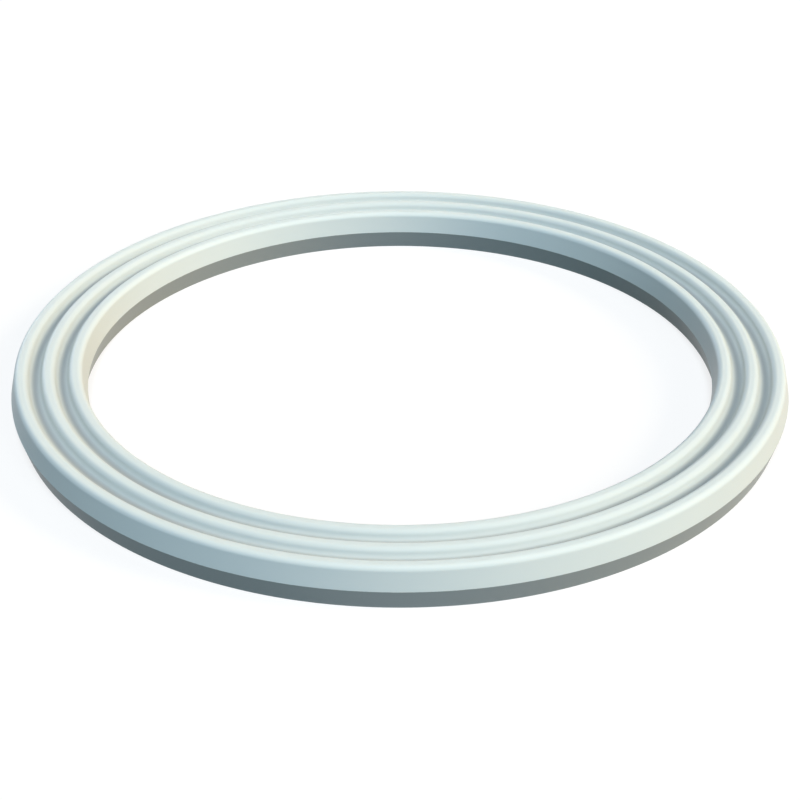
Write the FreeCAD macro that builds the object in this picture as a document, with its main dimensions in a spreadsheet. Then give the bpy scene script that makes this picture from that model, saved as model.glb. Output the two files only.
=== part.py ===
import FreeCAD, Part
import math
import os
import Sketcher

# Flat sealing ring: one moulded plastic ring with three rounded sealing ribs on its upper face.
# Millimetres, +Z up. The origin is the centre of the flat seat face, on the ring's axis.

doc = FreeCAD.newDocument("flat_sealing_ring")

# Sizes that set the part: name, value, meaning
SIZES = [
    ("bore_radius", 10.09, "narrowest radius of the bore, at the parting line"),
    ("section_width", 2.41, "widest width of the section, at the parting line"),
    ("ring_height", 1.375, "seat face to rib crests"),
    ("parting_height", 0.66, "height of the parting line, where both side walls turn"),
    ("outer_relief", 0.2, "how far the seat face's outer edge is set in from the parting line"),
    ("bore_relief", 0.18, "how far the seat face's bore edge is set back from the parting line"),
    ("outer_draft", 12.5, "draft of the outer wall above the parting line, degrees"),
    ("bore_draft", 12.0, "draft of the bore wall above the parting line, degrees"),
    ("rib_rounding", 0.19, "rounding on each side of a rib"),
    ("crest_flat", 0.09, "width of the flat on top of a rib"),
    ("contact_angle", 72.0, "slope at which the circles of a rib and a groove touch, degrees"),
    ("shoulder_sweep", 44.0, "turn of a rib's rounding from the crest to the flank, degrees"),
    ("groove_slope", 67.0, "slope of a groove's rounded bottom where the flank starts, degrees"),
    ("trough_sweep", 47.0, "turn of a groove's middle arc, degrees"),
]

# Sizes that follow from the ones above: name, formula, meaning
DERIVED = [
    ("outer_radius", "bore_radius + section_width", "widest radius"),
    ("seat_outer", "outer_radius - outer_relief", "outer radius of the seat face"),
    ("seat_bore", "bore_radius + bore_relief", "inner radius of the seat face"),
    ("rounding_level", "ring_height - rib_rounding", "height of the rib roundings' centres"),
    (
        "outer_shoulder",
        "outer_radius - (rounding_level - parting_height) * tan(outer_draft)"
        " - rib_rounding / cos(outer_draft)",
        "outer edge of the outermost crest",
    ),
    (
        "bore_shoulder",
        "bore_radius + (rounding_level - parting_height) * tan(bore_draft)"
        " + rib_rounding / cos(bore_draft)",
        "inner edge of the innermost crest",
    ),
    ("rib_pitch", "(outer_shoulder - bore_shoulder - crest_flat) / 2", "rib to rib"),
    ("rib_middle", "(outer_shoulder + bore_shoulder) / 2", "radius of the middle rib"),
    (
        "groove_rounding",
        "(rib_pitch - crest_flat) / 2 / sin(contact_angle) - rib_rounding",
        "radius of a groove's rounded bottom",
    ),
    (
        "groove_depth",
        "(rib_rounding + groove_rounding) * (1 - cos(contact_angle))",
        "crest to the bottom of a groove",
    ),
    ("groove_level", "ring_height - groove_depth", "height of the bottoms of the grooves"),
    ("side_sweep", "groove_slope - trough_sweep / 2", "turn of a groove's two side arcs"),
]

sheet = doc.addObject("Spreadsheet::Sheet", "sizes")
sheet.Label = "sizes"
row = 0
for name, value, meaning in SIZES:
    row += 1
    sheet.set("A%d" % row, name)
    sheet.set("B%d" % row, str(value))
    sheet.set("C%d" % row, meaning)
    sheet.setAlias("B%d" % row, name)
for name, formula, meaning in DERIVED:
    row += 1
    sheet.set("A%d" % row, name)
    sheet.set("B%d" % row, "=" + formula)
    sheet.set("C%d" % row, meaning)
    sheet.setAlias("B%d" % row, name)
doc.recompute()


def size(name):
    """The value that the sheet holds under a name, as a plain number."""
    return float(sheet.get(name))


def origin_feature(body, role):
    """One of a body's own origin planes or axes, found by its role."""
    for feature in body.Origin.OriginFeatures:
        if feature.Role == role:
            return feature
    raise RuntimeError("no origin feature " + role)


body = doc.addObject("PartDesign::Body", "sealing_ring")
body.Label = "sealing_ring"
body.Placement = FreeCAD.Placement()
section = body.newObject("Sketcher::SketchObject", "ring_section")
section.Label = "ring_section"
section.AttachmentSupport = [(origin_feature(body, "XZ_Plane"), "")]
section.MapMode = "FlatFace"
doc.recompute()

START = 1
END = 2
CENTRE = 3
ORIGIN = -1
RIBS = 3


def line(r_from, z_from, r_to, z_to):
    """A straight edge of the section, from one point to the next."""
    start = FreeCAD.Vector(r_from, z_from, 0)
    end = FreeCAD.Vector(r_to, z_to, 0)
    return section.addGeometry(Part.LineSegment(start, end), False)


def arc(r, z, radius, from_degrees, to_degrees):
    """A rounded edge of the section, counter-clockwise round its centre."""
    circle = Part.Circle(FreeCAD.Vector(r, z, 0), FreeCAD.Vector(0, 0, 1), radius)
    edge = Part.ArcOfCircle(circle, math.radians(from_degrees), math.radians(to_degrees))
    return section.addGeometry(edge, False)


def hold(kind, *references):
    """A geometric constraint without a size."""
    section.addConstraint(Sketcher.Constraint(kind, *references))


def measure(kind, name, formula, *references):
    """A named dimension of the section that follows the sheet. The last reference is its first value."""
    number = section.addConstraint(Sketcher.Constraint(kind, *references))
    section.renameConstraint(number, name)
    section.setExpression("Constraints." + name, formula)


def across(name, formula, edge, end, value):
    """Holds one end of an edge at a radius."""
    measure("DistanceX", name, formula, ORIGIN, 1, edge, end, value)


def up(name, formula, edge, end, value):
    """Holds one end of an edge at a height."""
    measure("DistanceY", name, formula, ORIGIN, 1, edge, end, value)


def chain(r, z, radius, angles):
    """Arcs of one radius round one centre, each tangent to the next, counter-clockwise."""
    arcs = []
    for from_degrees, to_degrees in zip(angles, angles[1:]):
        arcs.append(arc(r, z, radius, from_degrees, to_degrees))
    for first, second in zip(arcs, arcs[1:]):
        hold("Tangent", first, END, second, START)
        hold("Equal", first, second)
    return arcs


# Seat face and the two tapered sides below the parting line
seat = line(size("seat_bore"), 0, size("seat_outer"), 0)
outer_taper = line(size("seat_outer"), 0, size("outer_radius"), size("parting_height"))
bore_taper = line(size("bore_radius"), size("parting_height"), size("seat_bore"), 0)
hold("Horizontal", seat)
hold("PointOnObject", seat, START, -1)
hold("Coincident", seat, END, outer_taper, START)
hold("Coincident", bore_taper, END, seat, START)
across("seat_bore", "sizes.seat_bore", seat, START, size("seat_bore"))
across("seat_outer", "sizes.seat_outer", seat, END, size("seat_outer"))
across("outer_parting", "sizes.outer_radius", outer_taper, END, size("outer_radius"))
up("outer_parting_height", "sizes.parting_height", outer_taper, END, size("parting_height"))
across("bore_parting", "sizes.bore_radius", bore_taper, START, size("bore_radius"))
up("bore_parting_height", "sizes.parting_height", bore_taper, START, size("parting_height"))

# The ribs, outermost first: a flat crest between two roundings. Beside a groove the rounding is one
# arc that ends at the flank, and at the outer wall and the bore wall a second arc turns on to the wall.
sweep = size("shoulder_sweep")
round_r = size("rib_rounding")
round_z = size("rounding_level")
crest_z = size("ring_height")
outer_sides = []
bore_sides = []
for rib in range(RIBS):
    name = "rib_%d" % (rib + 1)
    crest_outer = size("outer_shoulder") - rib * size("rib_pitch")
    crest_bore = crest_outer - size("crest_flat")
    outer_angles = [90 - sweep, 90]
    bore_angles = [90, 90 + sweep]
    if rib == 0:
        outer_angles.insert(0, size("outer_draft"))
    if rib == RIBS - 1:
        bore_angles.append(180 - size("bore_draft"))
    outer_side = chain(crest_outer, round_z, round_r, outer_angles)
    crest = line(crest_outer, crest_z, crest_bore, crest_z)
    bore_side = chain(crest_bore, round_z, round_r, bore_angles)
    hold("Horizontal", crest)
    hold("Tangent", outer_side[-1], END, crest, START)
    hold("Tangent", crest, END, bore_side[0], START)
    place = "sizes.outer_shoulder - %d * sizes.rib_pitch" % rib
    across(name + "_crest", place, crest, START, crest_outer)
    up(name + "_height", "sizes.ring_height", crest, START, crest_z)
    measure("Distance", name + "_flat", "sizes.crest_flat", crest, size("crest_flat"))
    for side, upper in (("outer", outer_side[-1]), ("bore", bore_side[0])):
        label = "%s_%s" % (name, side)
        measure("Radius", label + "_round", "sizes.rib_rounding", upper, round_r)
        measure("Angle", label + "_turn", "sizes.shoulder_sweep", upper, math.radians(sweep))
    outer_sides.append(outer_side)
    bore_sides.append(bore_side)

# The grooves between the ribs: a round bottom in three arcs, and a straight flank up to each rib
slope = size("groove_slope")
groove_r = size("groove_rounding")
groove_z = size("groove_level") + groove_r
half = size("trough_sweep") / 2
for groove in range(RIBS - 1):
    name = "groove_%d" % (groove + 1)
    middle = size("outer_shoulder") - (groove + 0.5) * size("rib_pitch") - size("crest_flat") / 2
    angles = [270 - slope, 270 - half, 270 + half, 270 + slope]
    bottom = chain(middle, groove_z, groove_r, angles)
    place = "sizes.outer_shoulder - %.1f * sizes.rib_pitch - sizes.crest_flat / 2" % (groove + 0.5)
    across(name + "_middle", place, bottom[1], CENTRE, middle)
    up(name + "_centre", "sizes.groove_level + sizes.groove_rounding", bottom[1], CENTRE, groove_z)
    hold("Horizontal", bottom[1], START, bottom[1], END)
    measure("Radius", name + "_round", "sizes.groove_rounding", bottom[1], groove_r)
    measure("Angle", name + "_turn", "sizes.trough_sweep", bottom[1], math.radians(2 * half))
    for side, piece in (("bore", bottom[0]), ("outer", bottom[2])):
        turn = math.radians(slope - half)
        measure("Angle", "%s_%s_turn" % (name, side), "sizes.side_sweep", piece, turn)
    rib_foot = 90 + sweep
    outer_flank = line(
        middle + groove_r * math.cos(math.radians(270 + slope)),
        groove_z + groove_r * math.sin(math.radians(270 + slope)),
        middle + size("rib_pitch") / 2 - size("crest_flat") / 2
        + round_r * math.cos(math.radians(rib_foot)),
        round_z + round_r * math.sin(math.radians(rib_foot)),
    )
    bore_flank = line(
        middle - size("rib_pitch") / 2 + size("crest_flat") / 2
        - round_r * math.cos(math.radians(rib_foot)),
        round_z + round_r * math.sin(math.radians(rib_foot)),
        middle + groove_r * math.cos(math.radians(270 - slope)),
        groove_z + groove_r * math.sin(math.radians(270 - slope)),
    )
    hold("Coincident", outer_flank, START, bottom[2], END)
    hold("Coincident", outer_flank, END, bore_sides[groove][-1], END)
    hold("Coincident", bore_flank, START, outer_sides[groove + 1][0], START)
    hold("Coincident", bore_flank, END, bottom[0], START)

# Outer wall and bore wall above the parting line, each tangent to the rib beside it
outer_draft = math.radians(size("outer_draft"))
bore_draft = math.radians(size("bore_draft"))
outer_wall = line(
    size("outer_radius"),
    size("parting_height"),
    size("outer_shoulder") + round_r * math.cos(outer_draft),
    round_z + round_r * math.sin(outer_draft),
)
bore_wall = line(
    size("bore_shoulder") - round_r * math.cos(bore_draft),
    round_z + round_r * math.sin(bore_draft),
    size("bore_radius"),
    size("parting_height"),
)
hold("Coincident", outer_taper, END, outer_wall, START)
hold("Tangent", outer_wall, END, outer_sides[0][0], START)
hold("Tangent", bore_sides[-1][-1], END, bore_wall, START)
hold("Coincident", bore_wall, END, bore_taper, START)
doc.recompute()

# The ring: the section turned once round the axis
ring = body.newObject("PartDesign::Revolution", "ring")
ring.Label = "ring"
ring.Profile = section
ring.ReferenceAxis = (section, ["V_Axis"])
ring.Angle = 360
doc.recompute()
body.Tip = ring
doc.recompute()

for thing in doc.Objects:
    if "Invalid" in thing.State or "Error" in thing.State:
        raise RuntimeError(thing.Label + " is in state " + ", ".join(thing.State))
    if hasattr(thing, "Shape"):
        if thing.Shape.isNull() or not thing.Shape.isValid():
            raise RuntimeError(thing.Label + " has no valid shape")
if not section.FullyConstrained:
    raise RuntimeError("the section isn't fully constrained")

box = body.Shape.BoundBox
print("rib_pitch %.4f groove_rounding %.4f groove_depth %.4f" % (
    size("rib_pitch"), size("groove_rounding"), size("groove_depth")
))
print("box %.3f x %.3f x %.3f" % (box.XLength, box.YLength, box.ZLength))
print("volume %.2f solids %d faces %d" % (
    body.Shape.Volume, len(body.Shape.Solids), len(body.Shape.Faces)
))

os.makedirs("parts", exist_ok=True)
body.Shape.exportStep("parts/sealing_ring.step")
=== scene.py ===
import math

import bpy
from bpy.props import FloatProperty, FloatVectorProperty, IntProperty, PointerProperty
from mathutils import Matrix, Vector


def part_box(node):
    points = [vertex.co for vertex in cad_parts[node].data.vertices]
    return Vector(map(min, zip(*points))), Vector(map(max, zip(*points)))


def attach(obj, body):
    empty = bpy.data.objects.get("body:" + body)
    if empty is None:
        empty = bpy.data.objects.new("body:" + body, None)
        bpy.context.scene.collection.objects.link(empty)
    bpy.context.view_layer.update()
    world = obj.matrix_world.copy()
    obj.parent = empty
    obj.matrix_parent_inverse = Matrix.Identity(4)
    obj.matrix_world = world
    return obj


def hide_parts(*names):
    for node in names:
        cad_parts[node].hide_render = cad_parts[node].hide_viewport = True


bl_info = {
    "name": "Flat sealing ring",
    "version": (1, 0, 0),
    "blender": (4, 5, 0),
    "location": "3D View > Sidebar > Sealing ring",
    "description": "Makes a flat moulded sealing ring with three rounded ribs, and a plain stage for it",
    "category": "Add Mesh",
}

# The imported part, its box and the box of its one node
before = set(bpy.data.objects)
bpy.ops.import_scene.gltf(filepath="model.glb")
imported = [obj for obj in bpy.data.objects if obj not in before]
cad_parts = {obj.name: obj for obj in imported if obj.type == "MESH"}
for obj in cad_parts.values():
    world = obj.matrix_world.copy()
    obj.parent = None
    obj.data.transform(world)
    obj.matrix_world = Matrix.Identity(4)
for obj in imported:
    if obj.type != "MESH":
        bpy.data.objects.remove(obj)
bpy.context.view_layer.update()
NODE = "sealing_ring"
NODE_LOW, NODE_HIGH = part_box(NODE)
MM = 0.001
WHITE = (1.0, 1.0, 1.0)

# The photograph's point of view, in units of the ring's outside radius. The lens is in millimetres,
# for a sensor as wide as given.
CAMERA_PLACE = (0.0, -4.201305, 2.413562)
CAMERA_AIM = (0.0, 0.0, -0.0553806)
CAMERA_LENS = 82.911
CAMERA_SENSOR = 36.0

# The section's arcs have a point at least this often, and points nearer than this are one
ARC_STEP = math.radians(6.0)
ONE_PLACE = 1e-8

# The plastic's fine detail: its clouds, the noise levels at which a cloud starts and is full, its
# grain, and the distance between the mould's turned rings
CLOUD_SIZE = 3.0 * MM
CLOUD_START = 0.35
CLOUD_FULL = 0.7
GRAIN_SIZE = 0.07 * MM
TURNING_STEP = 0.045 * MM

# What the grain, a groove's dull skin and a crest's worn skin change in the roughness
GRAIN_ROUGHNESS = 0.08
GROOVE_ROUGHNESS = 0.05
CREST_ROUGHNESS = -0.04

# Heights over which one look passes into the next: the painted shade below the parting line fades at the
# parting line and the seat's edge, the painted groove shade fades in on the walls above the parting line,
# and the crest's worn roughness comes in up to a rib's crest
SEAM_BLEND = 0.02 * MM
WALL_BLEND = 0.1 * MM
CREST_BLEND = 0.012 * MM

# The painted shade in a groove: its share by place, from 0 at a rib's middle to 1 at the groove's middle
GROOVE_SHADE_STOPS = (
    (0.0, 0.0),
    (0.2, 0.0),
    (0.45, 0.27),
    (0.57, 0.48),
    (0.7, 0.52),
    (0.8, 0.78),
    (0.94, 1.0),
    (1.0, 1.0),
)

# The floor lies just below the seat face and reaches this many outside radii. On its white the
# lamps give at least this much of full white.
FLOOR_DROP = 0.01 * MM
FLOOR_REACH = 60
LAMPS_ON_FLOOR = 0.8

# The soft lamps: name, azimuth (0 is the camera's side, positive to the right), elevation,
# strength, colour, and how wide the lamp looks; angles in degrees
LAMPS = (
    ("high_front_lamp", 0.0, 68.0, 1.69, (0.81, 0.89, 1.0), 18.0),
    ("low_front_lamp", -10.0, 34.0, 0.6, (0.34, 0.79, 1.0), 18.0),
    ("front_right_lamp", 38.0, 34.0, 0.45, (1.0, 1.0, 1.0), 18.0),
    ("side_lamp", 70.0, 20.0, 0.85, (1.0, 0.94, 0.88), 18.0),
    ("warm_side_lamp", 85.0, 34.0, 1.4, (1.0, 0.79, 0.47), 18.0),
    ("back_fill_lamp", -150.0, 12.0, 0.6, (0.92, 0.96, 1.0), 18.0),
    ("floor_return_lamp", 0.0, -90.0, 0.9, (0.92, 0.98, 1.0), 30.0),
)


class RingShape(bpy.types.PropertyGroup):
    """The sizes of the ring's section."""

    outer_radius: FloatProperty(
        name="Outside radius",
        description="Widest radius, at the parting line",
        default=NODE_HIGH.x,
        min=0.0,
        precision=5,
        unit="LENGTH",
    )
    bore_radius: FloatProperty(
        name="Bore radius",
        description="Narrowest radius, at the parting line",
        default=10.09 * MM,
        min=0.0,
        precision=5,
        unit="LENGTH",
    )
    height: FloatProperty(
        name="Height",
        description="Seat face to rib crests",
        default=NODE_HIGH.z,
        min=0.0,
        precision=6,
        unit="LENGTH",
    )
    parting_height: FloatProperty(
        name="Parting height",
        description="Height of the parting line, where both walls turn",
        default=0.66 * MM,
        min=0.0,
        precision=6,
        unit="LENGTH",
    )
    outer_relief: FloatProperty(
        name="Outer relief",
        description="How far the seat's outer edge is set in from the parting line",
        default=0.2 * MM,
        min=0.0,
        precision=6,
        unit="LENGTH",
    )
    bore_relief: FloatProperty(
        name="Bore relief",
        description="How far the seat's bore edge is set back from the parting line",
        default=0.18 * MM,
        min=0.0,
        precision=6,
        unit="LENGTH",
    )
    outer_draft: FloatProperty(
        name="Outer draft",
        description="Lean of the outer wall above the parting line",
        default=math.radians(12.5),
        subtype="ANGLE",
    )
    bore_draft: FloatProperty(
        name="Bore draft",
        description="Lean of the bore wall above the parting line",
        default=math.radians(12.0),
        subtype="ANGLE",
    )
    rib_rounding: FloatProperty(
        name="Rib rounding",
        description="Rounding on each side of a rib",
        default=0.19 * MM,
        min=0.0,
        precision=6,
        unit="LENGTH",
    )
    crest_flat: FloatProperty(
        name="Crest flat",
        description="Width of the flat on top of a rib",
        default=0.09 * MM,
        min=0.0,
        precision=6,
        unit="LENGTH",
    )
    flank_slope: FloatProperty(
        name="Flank slope",
        description="Steepest slope of a rib's flank, where its rounding meets the groove's",
        default=math.radians(72.0),
        subtype="ANGLE",
    )
    edge_break: FloatProperty(
        name="Edge break",
        description="Rounding of the parting edges and the seat's edges",
        default=0.015 * MM,
        min=0.0,
        precision=6,
        unit="LENGTH",
    )
    ribs: IntProperty(name="Ribs", description="Number of sealing ribs", default=3, min=2, max=9)
    segments: IntProperty(
        name="Segments",
        description="Faces round the ring; 540 keep the piece under 200,000 triangles",
        default=540,
        min=32,
        max=1440,
    )


class RingFinish(bpy.types.PropertyGroup):
    """The colours and the surface of the moulded plastic."""

    body_colour: FloatVectorProperty(
        name="Plastic",
        description="Main colour of the plastic",
        subtype="COLOR",
        size=3,
        min=0.0,
        max=1.0,
        default=(0.80, 0.86, 0.84),
    )
    cloud_colour: FloatVectorProperty(
        name="Clouding",
        description="Colour of the faint clouds in the plastic",
        subtype="COLOR",
        size=3,
        min=0.0,
        max=1.0,
        default=(0.785, 0.85, 0.835),
    )
    # Painted shade: this darker colour low in the grooves stands in for the shade that falls in them
    groove_shade_colour: FloatVectorProperty(
        name="Groove",
        description="Colour low in the grooves, where the mould leaves a duller skin",
        subtype="COLOR",
        size=3,
        min=0.0,
        max=1.0,
        default=(0.43, 0.46, 0.455),
    )
    # Painted shade: this darker colour below the parting line stands in for the shade on the down-facing
    # walls
    lower_shade_colour: FloatVectorProperty(
        name="Lower half",
        description="Colour below the parting line, where the other mould half leaves a duller skin",
        subtype="COLOR",
        size=3,
        min=0.0,
        max=1.0,
        default=(0.44, 0.48, 0.48),
    )
    gloss_roughness: FloatProperty(
        name="Roughness",
        description="Roughness of the moulded skin",
        subtype="FACTOR",
        min=0.0,
        max=1.0,
        default=0.4,
    )
    grain_depth: FloatProperty(
        name="Grain depth",
        description="Depth of the fine grain of the mould",
        default=0.00012 * MM,
        min=0.0,
        precision=7,
        unit="LENGTH",
    )
    turning_depth: FloatProperty(
        name="Turning depth",
        description="Depth of the fine rings that the turned mould leaves",
        default=0.00008 * MM,
        min=0.0,
        precision=7,
        unit="LENGTH",
    )


class StageLook(bpy.types.PropertyGroup):
    """The floor, the backdrop and the lamps."""

    floor_colour: FloatVectorProperty(
        name="Floor",
        description="Colour that the floor throws back on to the ring",
        subtype="COLOR",
        size=3,
        min=0.0,
        max=1.0,
        default=(0.02, 0.02, 0.02),
    )
    shadow_share: FloatProperty(
        name="Shadow share",
        description="How much of the floor's white comes from the lamps, so that the shadow shows",
        subtype="FACTOR",
        default=0.25,
        min=0.0,
        max=1.0,
    )
    air_colour: FloatVectorProperty(
        name="Air",
        description="Colour of the faint even light from all round",
        subtype="COLOR",
        size=3,
        min=0.0,
        max=1.0,
        default=(0.01, 0.01, 0.01),
    )
    lamp_level: FloatProperty(
        name="Lamp level",
        description="Strength of all lamps together",
        default=1.0,
        min=0.0,
    )


class Wire:
    """A socket's value, so that shader maths is written as an expression."""

    def __init__(self, graph, socket):
        self.graph = graph
        self.socket = socket

    def maths(self, operation, first, second):
        return self.graph.node("ShaderNodeMath", {"operation": operation}, {0: first, 1: second})

    def __add__(self, other):
        return self.maths("ADD", self, other)

    def __radd__(self, other):
        return self.maths("ADD", other, self)

    def __sub__(self, other):
        return self.maths("SUBTRACT", self, other)

    def __rsub__(self, other):
        return self.maths("SUBTRACT", other, self)

    def __mul__(self, other):
        return self.maths("MULTIPLY", self, other)

    def __rmul__(self, other):
        return self.maths("MULTIPLY", other, self)

    def largest(self, other):
        return self.maths("MAXIMUM", self, other)


class Graph:
    """The node tree of a material or a world, and the one method that makes its nodes."""

    def __init__(self, owner):
        owner.use_nodes = True
        self.tree = owner.node_tree
        self.tree.nodes.clear()

    def node(self, kind, settings, sockets, output=0):
        """A node with its settings, then its sockets' values or links. Gives one of its outputs.

        A ramp's stops are a setting: places and grey levels, the first and the last at its ends.
        """
        made = self.tree.nodes.new(kind)
        for name, value in settings.items():
            if name == "stops":
                elements = made.color_ramp.elements
                for element, stop in ((elements[0], value[0]), (elements[1], value[-1])):
                    element.color = opaque((stop[1],) * 3)
                for place, level in value[1:-1]:
                    elements.new(place).color = opaque((level,) * 3)
            else:
                setattr(made, name, value)
        for name, value in sockets.items():
            if isinstance(value, Wire):
                self.tree.links.new(value.socket, made.inputs[name])
            else:
                made.inputs[name].default_value = value
        return Wire(self, made.outputs[output]) if made.outputs else made

    def blend(self, share, first, second):
        """One colour where share is 0, the other where it is 1.

        A Mix node takes its colours at inputs 6 and 7 and gives the blend at output 2.
        """
        return self.node(
            "ShaderNodeMix",
            {"data_type": "RGBA", "clamp_factor": True},
            {0: share, 6: first, 7: second},
            output=2,
        )

    def between(self, value, low, high):
        """0 below low, 1 above high, smooth in between."""
        return self.node(
            "ShaderNodeMapRange",
            {"interpolation_type": "SMOOTHSTEP"},
            {"Value": value, "From Min": low, "From Max": high},
        )

    def noise(self, place, size, detail, roughness=0.5):
        """Noise with features of a real size, from 0 to 1."""
        return self.node(
            "ShaderNodeTexNoise",
            {"noise_dimensions": "3D"},
            {"Vector": place, "Scale": 1.0 / size, "Detail": detail, "Roughness": roughness},
        )


def opaque(colour):
    """A colour with full alpha, as a colour socket takes it."""
    return (*colour, 1.0)


def rib_places(shape):
    """The outer edge of the outermost rib's crest, and the distance from rib to rib."""
    rise = shape.height - shape.rib_rounding - shape.parting_height
    outer = rise * math.tan(shape.outer_draft) + shape.rib_rounding / math.cos(shape.outer_draft)
    bore = rise * math.tan(shape.bore_draft) + shape.rib_rounding / math.cos(shape.bore_draft)
    first = shape.outer_radius - outer
    last = shape.bore_radius + bore
    return first, (first - last - shape.crest_flat) / (shape.ribs - 1)


def ring_section(shape):
    """The section as (radius, height, normal's radius part, normal's height part), counter-clockwise.

    Every corner is an arc, so each point has one normal and the faces between arcs stay flat.
    """
    section = []

    def arc(centre, radius, start, end, inward=False):
        """Points of an arc round a centre. A hollow arc's normals point to the centre."""
        steps = max(2, math.ceil(abs(end - start) / ARC_STEP))
        sign = -1.0 if inward else 1.0
        for step in range(steps + 1):
            turn = start + (end - start) * step / steps
            across, up = math.cos(turn), math.sin(turn)
            section.append(
                (centre[0] + radius * across, centre[1] + radius * up, sign * across, sign * up)
            )

    def corner(before, at, after, radius):
        """An arc that breaks the corner at a point, tangent to both edges."""
        into, out = (at - before).normalized(), (after - at).normalized()
        turn = into.angle_signed(out)
        back = radius * math.tan(abs(turn) / 2)
        side = Vector((-into.y, into.x))
        centre = at - into * back + side * radius
        start = math.atan2(-side.y, -side.x)
        arc(centre, radius, start, start + abs(turn))

    outer, bore = shape.outer_radius, shape.bore_radius
    top, round_r = shape.height, shape.rib_rounding
    level = top - round_r
    rise = level - shape.parting_height
    first, pitch = rib_places(shape)
    slope = shape.flank_slope
    groove_r = (pitch - shape.crest_flat) / 2 / math.sin(slope) - round_r
    groove_z = top - (round_r + groove_r) * (1 - math.cos(slope)) + groove_r
    quarter = math.pi / 2

    seat_bore = Vector((bore + shape.bore_relief, 0.0))
    seat_outer = Vector((outer - shape.outer_relief, 0.0))
    outer_parting = Vector((outer, shape.parting_height))
    bore_parting = Vector((bore, shape.parting_height))
    outer_top = Vector((outer - rise * math.tan(shape.outer_draft), level))
    bore_top = Vector((bore + rise * math.tan(shape.bore_draft), level))
    corner(seat_bore, seat_outer, outer_parting, shape.edge_break)
    corner(seat_outer, outer_parting, outer_top, shape.edge_break)
    for rib in range(shape.ribs):
        crest_outer = first - rib * pitch
        crest_bore = crest_outer - shape.crest_flat
        foot = shape.outer_draft if rib == 0 else quarter - slope
        arc((crest_outer, level), round_r, foot, quarter)
        foot = math.pi - shape.bore_draft if rib == shape.ribs - 1 else quarter + slope
        arc((crest_bore, level), round_r, quarter, foot)
        if rib < shape.ribs - 1:
            middle = crest_bore - (pitch - shape.crest_flat) / 2
            arc((middle, groove_z), groove_r, slope - quarter, -slope - quarter, inward=True)
    corner(bore_top, bore_parting, seat_bore, shape.edge_break)
    corner(bore_parting, seat_bore, seat_outer, shape.edge_break)
    kept = [section[0]]
    for point in section[1:]:
        if math.hypot(point[0] - kept[-1][0], point[1] - kept[-1][1]) > ONE_PLACE:
            kept.append(point)
    return kept


def turned_mesh(name, section, segments):
    """A closed mesh: the section turned once round the Z axis, with the section's own normals."""
    vertices, normals, faces = [], [], []
    count = len(section)
    for segment in range(segments):
        turn = 2 * math.pi * segment / segments
        across, along = math.cos(turn), math.sin(turn)
        for radius, height, out, up in section:
            vertices.append((radius * across, radius * along, height))
            normals.append((out * across, out * along, up))
    for segment in range(segments):
        here, there = segment * count, (segment + 1) % segments * count
        for point in range(count):
            after = (point + 1) % count
            faces.append((here + point, there + point, there + after, here + after))
    mesh = bpy.data.meshes.new(name)
    mesh.from_pydata(vertices, [], faces)
    mesh.update()
    mesh.shade_smooth()
    mesh.normals_split_custom_set_from_vertices(normals)
    return mesh


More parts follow.
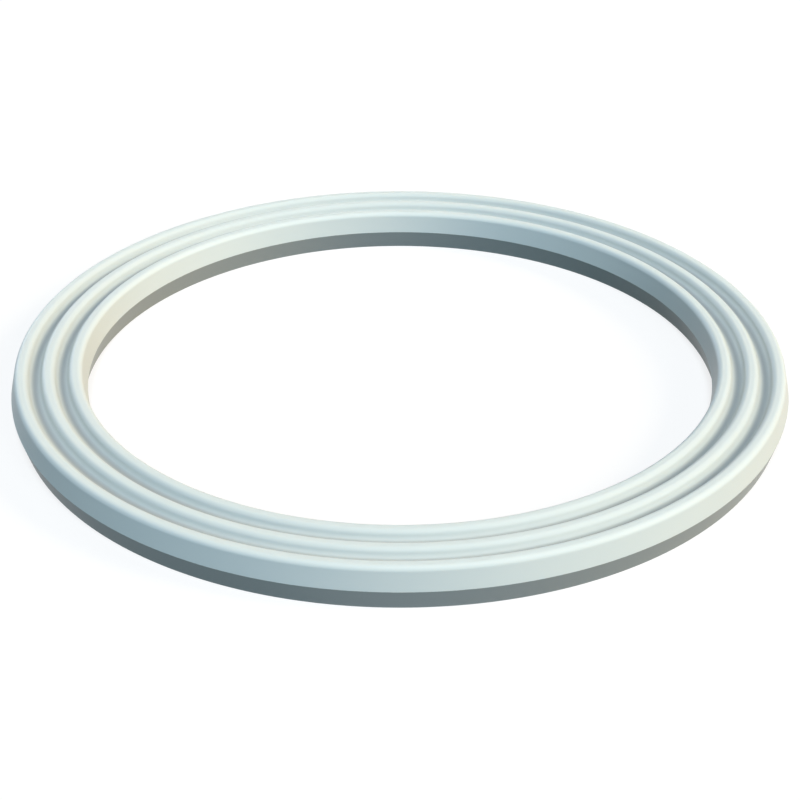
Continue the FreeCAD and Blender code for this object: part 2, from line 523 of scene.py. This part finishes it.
def moulded_plastic(shape, finish):
    """Pale plastic with faint clouds, a fine grain and the rings that a turned mould leaves, with shade
    painted into its colour in the grooves and below the parting line.
    """
    material = bpy.data.materials.new("moulded_plastic")
    graph = Graph(material)
    place = graph.node("ShaderNodeTexCoord", {}, {}, output="Object")
    height = graph.node("ShaderNodeSeparateXYZ", {}, {"Vector": place}, output="Z")
    flat = graph.node(
        "ShaderNodeVectorMath",
        {"operation": "MULTIPLY"},
        {0: place, 1: (1.0, 1.0, 0.0)},
    )
    radius = graph.node("ShaderNodeVectorMath", {"operation": "LENGTH"}, {0: flat}, output="Value")

    # Masks over the section
    clouds = graph.between(graph.noise(place, CLOUD_SIZE, 2.0), CLOUD_START, CLOUD_FULL)
    grain = graph.noise(place, GRAIN_SIZE, 3.0, 0.6)
    first, pitch = rib_places(shape)
    half_crest = shape.crest_flat / 2
    outer_rib = first - half_crest
    bore_rib = outer_rib - (shape.ribs - 1) * pitch
    # Mask of the painted groove shade: its share by place across the ribs, kept to the rib zone above the
    # parting line
    aside = graph.node(
        "ShaderNodeMath", {"operation": "PINGPONG"}, {0: radius - outer_rib, 1: pitch / 2}
    )
    skin = graph.node(
        "ShaderNodeValToRGB", {"stops": GROOVE_SHADE_STOPS}, {"Fac": aside * (2 / pitch)}, output="Color"
    )
    inside = graph.between(radius, bore_rib - half_crest, bore_rib)
    outside = graph.between(radius, outer_rib, outer_rib + half_crest)
    above = graph.between(height, shape.parting_height, shape.parting_height + WALL_BLEND)
    groove = skin * inside * (1.0 - outside) * above
    crest = graph.between(height, shape.height - CREST_BLEND, shape.height)
    # Mask of the painted shade below the parting line, fading out at the seat's edge
    seam = shape.parting_height - height + grain * SEAM_BLEND
    lower_shade = graph.between(seam, 0.0, SEAM_BLEND) * graph.between(height, 0.0, SEAM_BLEND)

    # Colour, roughness and relief
    colour = graph.blend(clouds, opaque(finish.body_colour), opaque(finish.cloud_colour))
    # Painted shade: the grooves and the walls below the parting line take darker colours
    colour = graph.blend(groove, colour, opaque(finish.groove_shade_colour))
    colour = graph.blend(lower_shade, colour, opaque(finish.lower_shade_colour))
    roughness = finish.gloss_roughness + (grain - 0.5) * GRAIN_ROUGHNESS
    roughness = roughness + groove * GROOVE_ROUGHNESS + crest * CREST_ROUGHNESS
    rings = graph.node(
        "ShaderNodeMath", {"operation": "SINE"}, {0: (radius + height) * (2 * math.pi / TURNING_STEP)}
    )
    relief = graph.node(
        "ShaderNodeBump",
        {},
        {
            "Strength": 1.0,
            "Distance": 1.0,
            "Height": grain * finish.grain_depth + rings * (finish.turning_depth / 2),
        },
    )
    shader = graph.node(
        "ShaderNodeBsdfPrincipled",
        {},
        {
            "Base Color": colour,
            "Roughness": roughness,
            "IOR": 1.5,
            "Specular IOR Level": 0.1,
            "Normal": relief,
        },
    )
    graph.node("ShaderNodeOutputMaterial", {}, {"Surface": shader})
    return material


def seen_directly(graph):
    """1 for the rays that show the backdrop: the camera's, and those in gloss and glass."""
    path = "ShaderNodeLightPath"
    seen = graph.node(path, {}, {}, output="Is Camera Ray")
    seen = seen.largest(graph.node(path, {}, {}, output="Is Glossy Ray"))
    return seen.largest(graph.node(path, {}, {}, output="Is Transmission Ray"))


def pale_floor(look):
    """A floor that looks white, keeps the ring's shadow, and is clear from below.

    The light from below passes through it, as a pale floor would throw it back.
    """
    material = bpy.data.materials.new("pale_floor")
    graph = Graph(material)
    bounce = graph.node("ShaderNodeBsdfDiffuse", {}, {"Color": opaque(look.floor_colour)})
    shade = graph.node("ShaderNodeBsdfDiffuse", {}, {"Color": opaque((look.shadow_share,) * 3)})
    glow = graph.node(
        "ShaderNodeEmission",
        {},
        {"Color": opaque(WHITE), "Strength": 1.0 - look.shadow_share * LAMPS_ON_FLOOR},
    )
    white = graph.node("ShaderNodeAddShader", {}, {0: shade, 1: glow})
    floor = graph.node("ShaderNodeMixShader", {}, {0: seen_directly(graph), 1: bounce, 2: white})
    below = graph.node("ShaderNodeNewGeometry", {}, {}, output="Backfacing")
    below = below.largest(graph.node("ShaderNodeLightPath", {}, {}, output="Is Shadow Ray"))
    clear = graph.node("ShaderNodeBsdfTransparent", {}, {})
    floor = graph.node("ShaderNodeMixShader", {}, {0: below, 1: floor, 2: clear})
    graph.node("ShaderNodeOutputMaterial", {}, {"Surface": floor})
    return material


def white_world(look):
    """White behind the ring and in its reflections, and a faint even light."""
    world = bpy.data.worlds.new("white_backdrop")
    graph = Graph(world)
    seen = seen_directly(graph)
    colour = graph.blend(seen, opaque(look.air_colour), opaque(WHITE))
    back = graph.node("ShaderNodeBackground", {}, {"Color": colour, "Strength": 1.0})
    graph.node("ShaderNodeOutputWorld", {}, {"Surface": back})
    return world


class SEALRING_OT_add_ring(bpy.types.Operator):
    """Makes the moulded ring and lets it stand for the part's solid"""

    bl_idname = "sealring.add_ring"
    bl_label = "Add the ring"

    def execute(self, context):
        shape = context.scene.sealring_shape
        section = ring_section(shape)
        if min(point[0] for point in section) <= 0:
            raise RuntimeError("the bore is too small for this section")
        mesh = turned_mesh("moulded_ring", section, shape.segments)
        mesh.materials.append(moulded_plastic(shape, context.scene.sealring_finish))
        ring = bpy.data.objects.new("moulded_ring", mesh)
        context.scene.collection.objects.link(ring)
        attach(ring, "root")
        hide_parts(NODE)
        return {"FINISHED"}


class SEALRING_OT_add_stage(bpy.types.Operator):
    """Makes the pale floor, the white backdrop, the soft lamps and the camera"""

    bl_idname = "sealring.add_stage"
    bl_label = "Add the stage"

    def execute(self, context):
        scene = context.scene
        look = scene.sealring_stage
        reach = scene.sealring_shape.outer_radius
        scene.view_settings.view_transform = "Standard"
        scene.world = white_world(look)

        half, level = FLOOR_REACH * reach, -FLOOR_DROP
        mesh = bpy.data.meshes.new("floor")
        corners = [(-half, -half, level), (half, -half, level), (half, half, level), (-half, half, level)]
        mesh.from_pydata(corners, [], [(0, 1, 2, 3)])
        mesh.materials.append(pale_floor(look))
        floor = bpy.data.objects.new("floor", mesh)
        scene.collection.objects.link(floor)

        for name, azimuth, elevation, strength, colour, width in LAMPS:
            lamp = bpy.data.lights.new(name, "SUN")
            lamp.energy = strength * look.lamp_level
            lamp.color = colour
            lamp.angle = math.radians(width)
            holder = bpy.data.objects.new(name, lamp)
            turn, rise = math.radians(azimuth), math.radians(elevation)
            towards = Vector(
                (math.sin(turn) * math.cos(rise), -math.cos(turn) * math.cos(rise), math.sin(rise))
            )
            holder.rotation_euler = towards.to_track_quat("Z", "Y").to_euler()
            scene.collection.objects.link(holder)

        lens = bpy.data.cameras.new("photo_camera")
        lens.sensor_width = CAMERA_SENSOR
        lens.lens = CAMERA_LENS
        lens.clip_start = 0.001
        lens.clip_end = 10.0
        camera = bpy.data.objects.new("photo_camera", lens)
        camera.location = Vector(CAMERA_PLACE) * reach
        aim = Vector(CAMERA_AIM) * reach - camera.location
        camera.rotation_euler = aim.to_track_quat("-Z", "Y").to_euler()
        scene.collection.objects.link(camera)
        scene.camera = camera
        return {"FINISHED"}


class SEALRING_PT_sidebar(bpy.types.Panel):
    """Sizes, colours and the two steps, in the 3D view's sidebar."""

    bl_idname = "SEALRING_PT_sidebar"
    bl_label = "Sealing ring"
    bl_space_type = "VIEW_3D"
    bl_region_type = "UI"
    bl_category = "Sealing ring"

    def draw(self, context):
        scene = context.scene
        for group, step in (
            (scene.sealring_shape, SEALRING_OT_add_ring),
            (scene.sealring_finish, None),
            (scene.sealring_stage, SEALRING_OT_add_stage),
        ):
            column = self.layout.column(align=True)
            for name in group.__annotations__:
                column.prop(group, name)
            if step:
                self.layout.operator(step.bl_idname)


CLASSES = (
    RingShape,
    RingFinish,
    StageLook,
    SEALRING_OT_add_ring,
    SEALRING_OT_add_stage,
    SEALRING_PT_sidebar,
)


def register():
    for part in CLASSES:
        bpy.utils.register_class(part)
    bpy.types.Scene.sealring_shape = PointerProperty(type=RingShape)
    bpy.types.Scene.sealring_finish = PointerProperty(type=RingFinish)
    bpy.types.Scene.sealring_stage = PointerProperty(type=StageLook)


def unregister():
    del bpy.types.Scene.sealring_stage
    del bpy.types.Scene.sealring_finish
    del bpy.types.Scene.sealring_shape
    for part in reversed(CLASSES):
        bpy.utils.unregister_class(part)


def main():
    """Makes everything in order."""
    register()
    bpy.ops.sealring.add_ring()
    bpy.ops.sealring.add_stage()


if __name__ == "__main__":
    main()
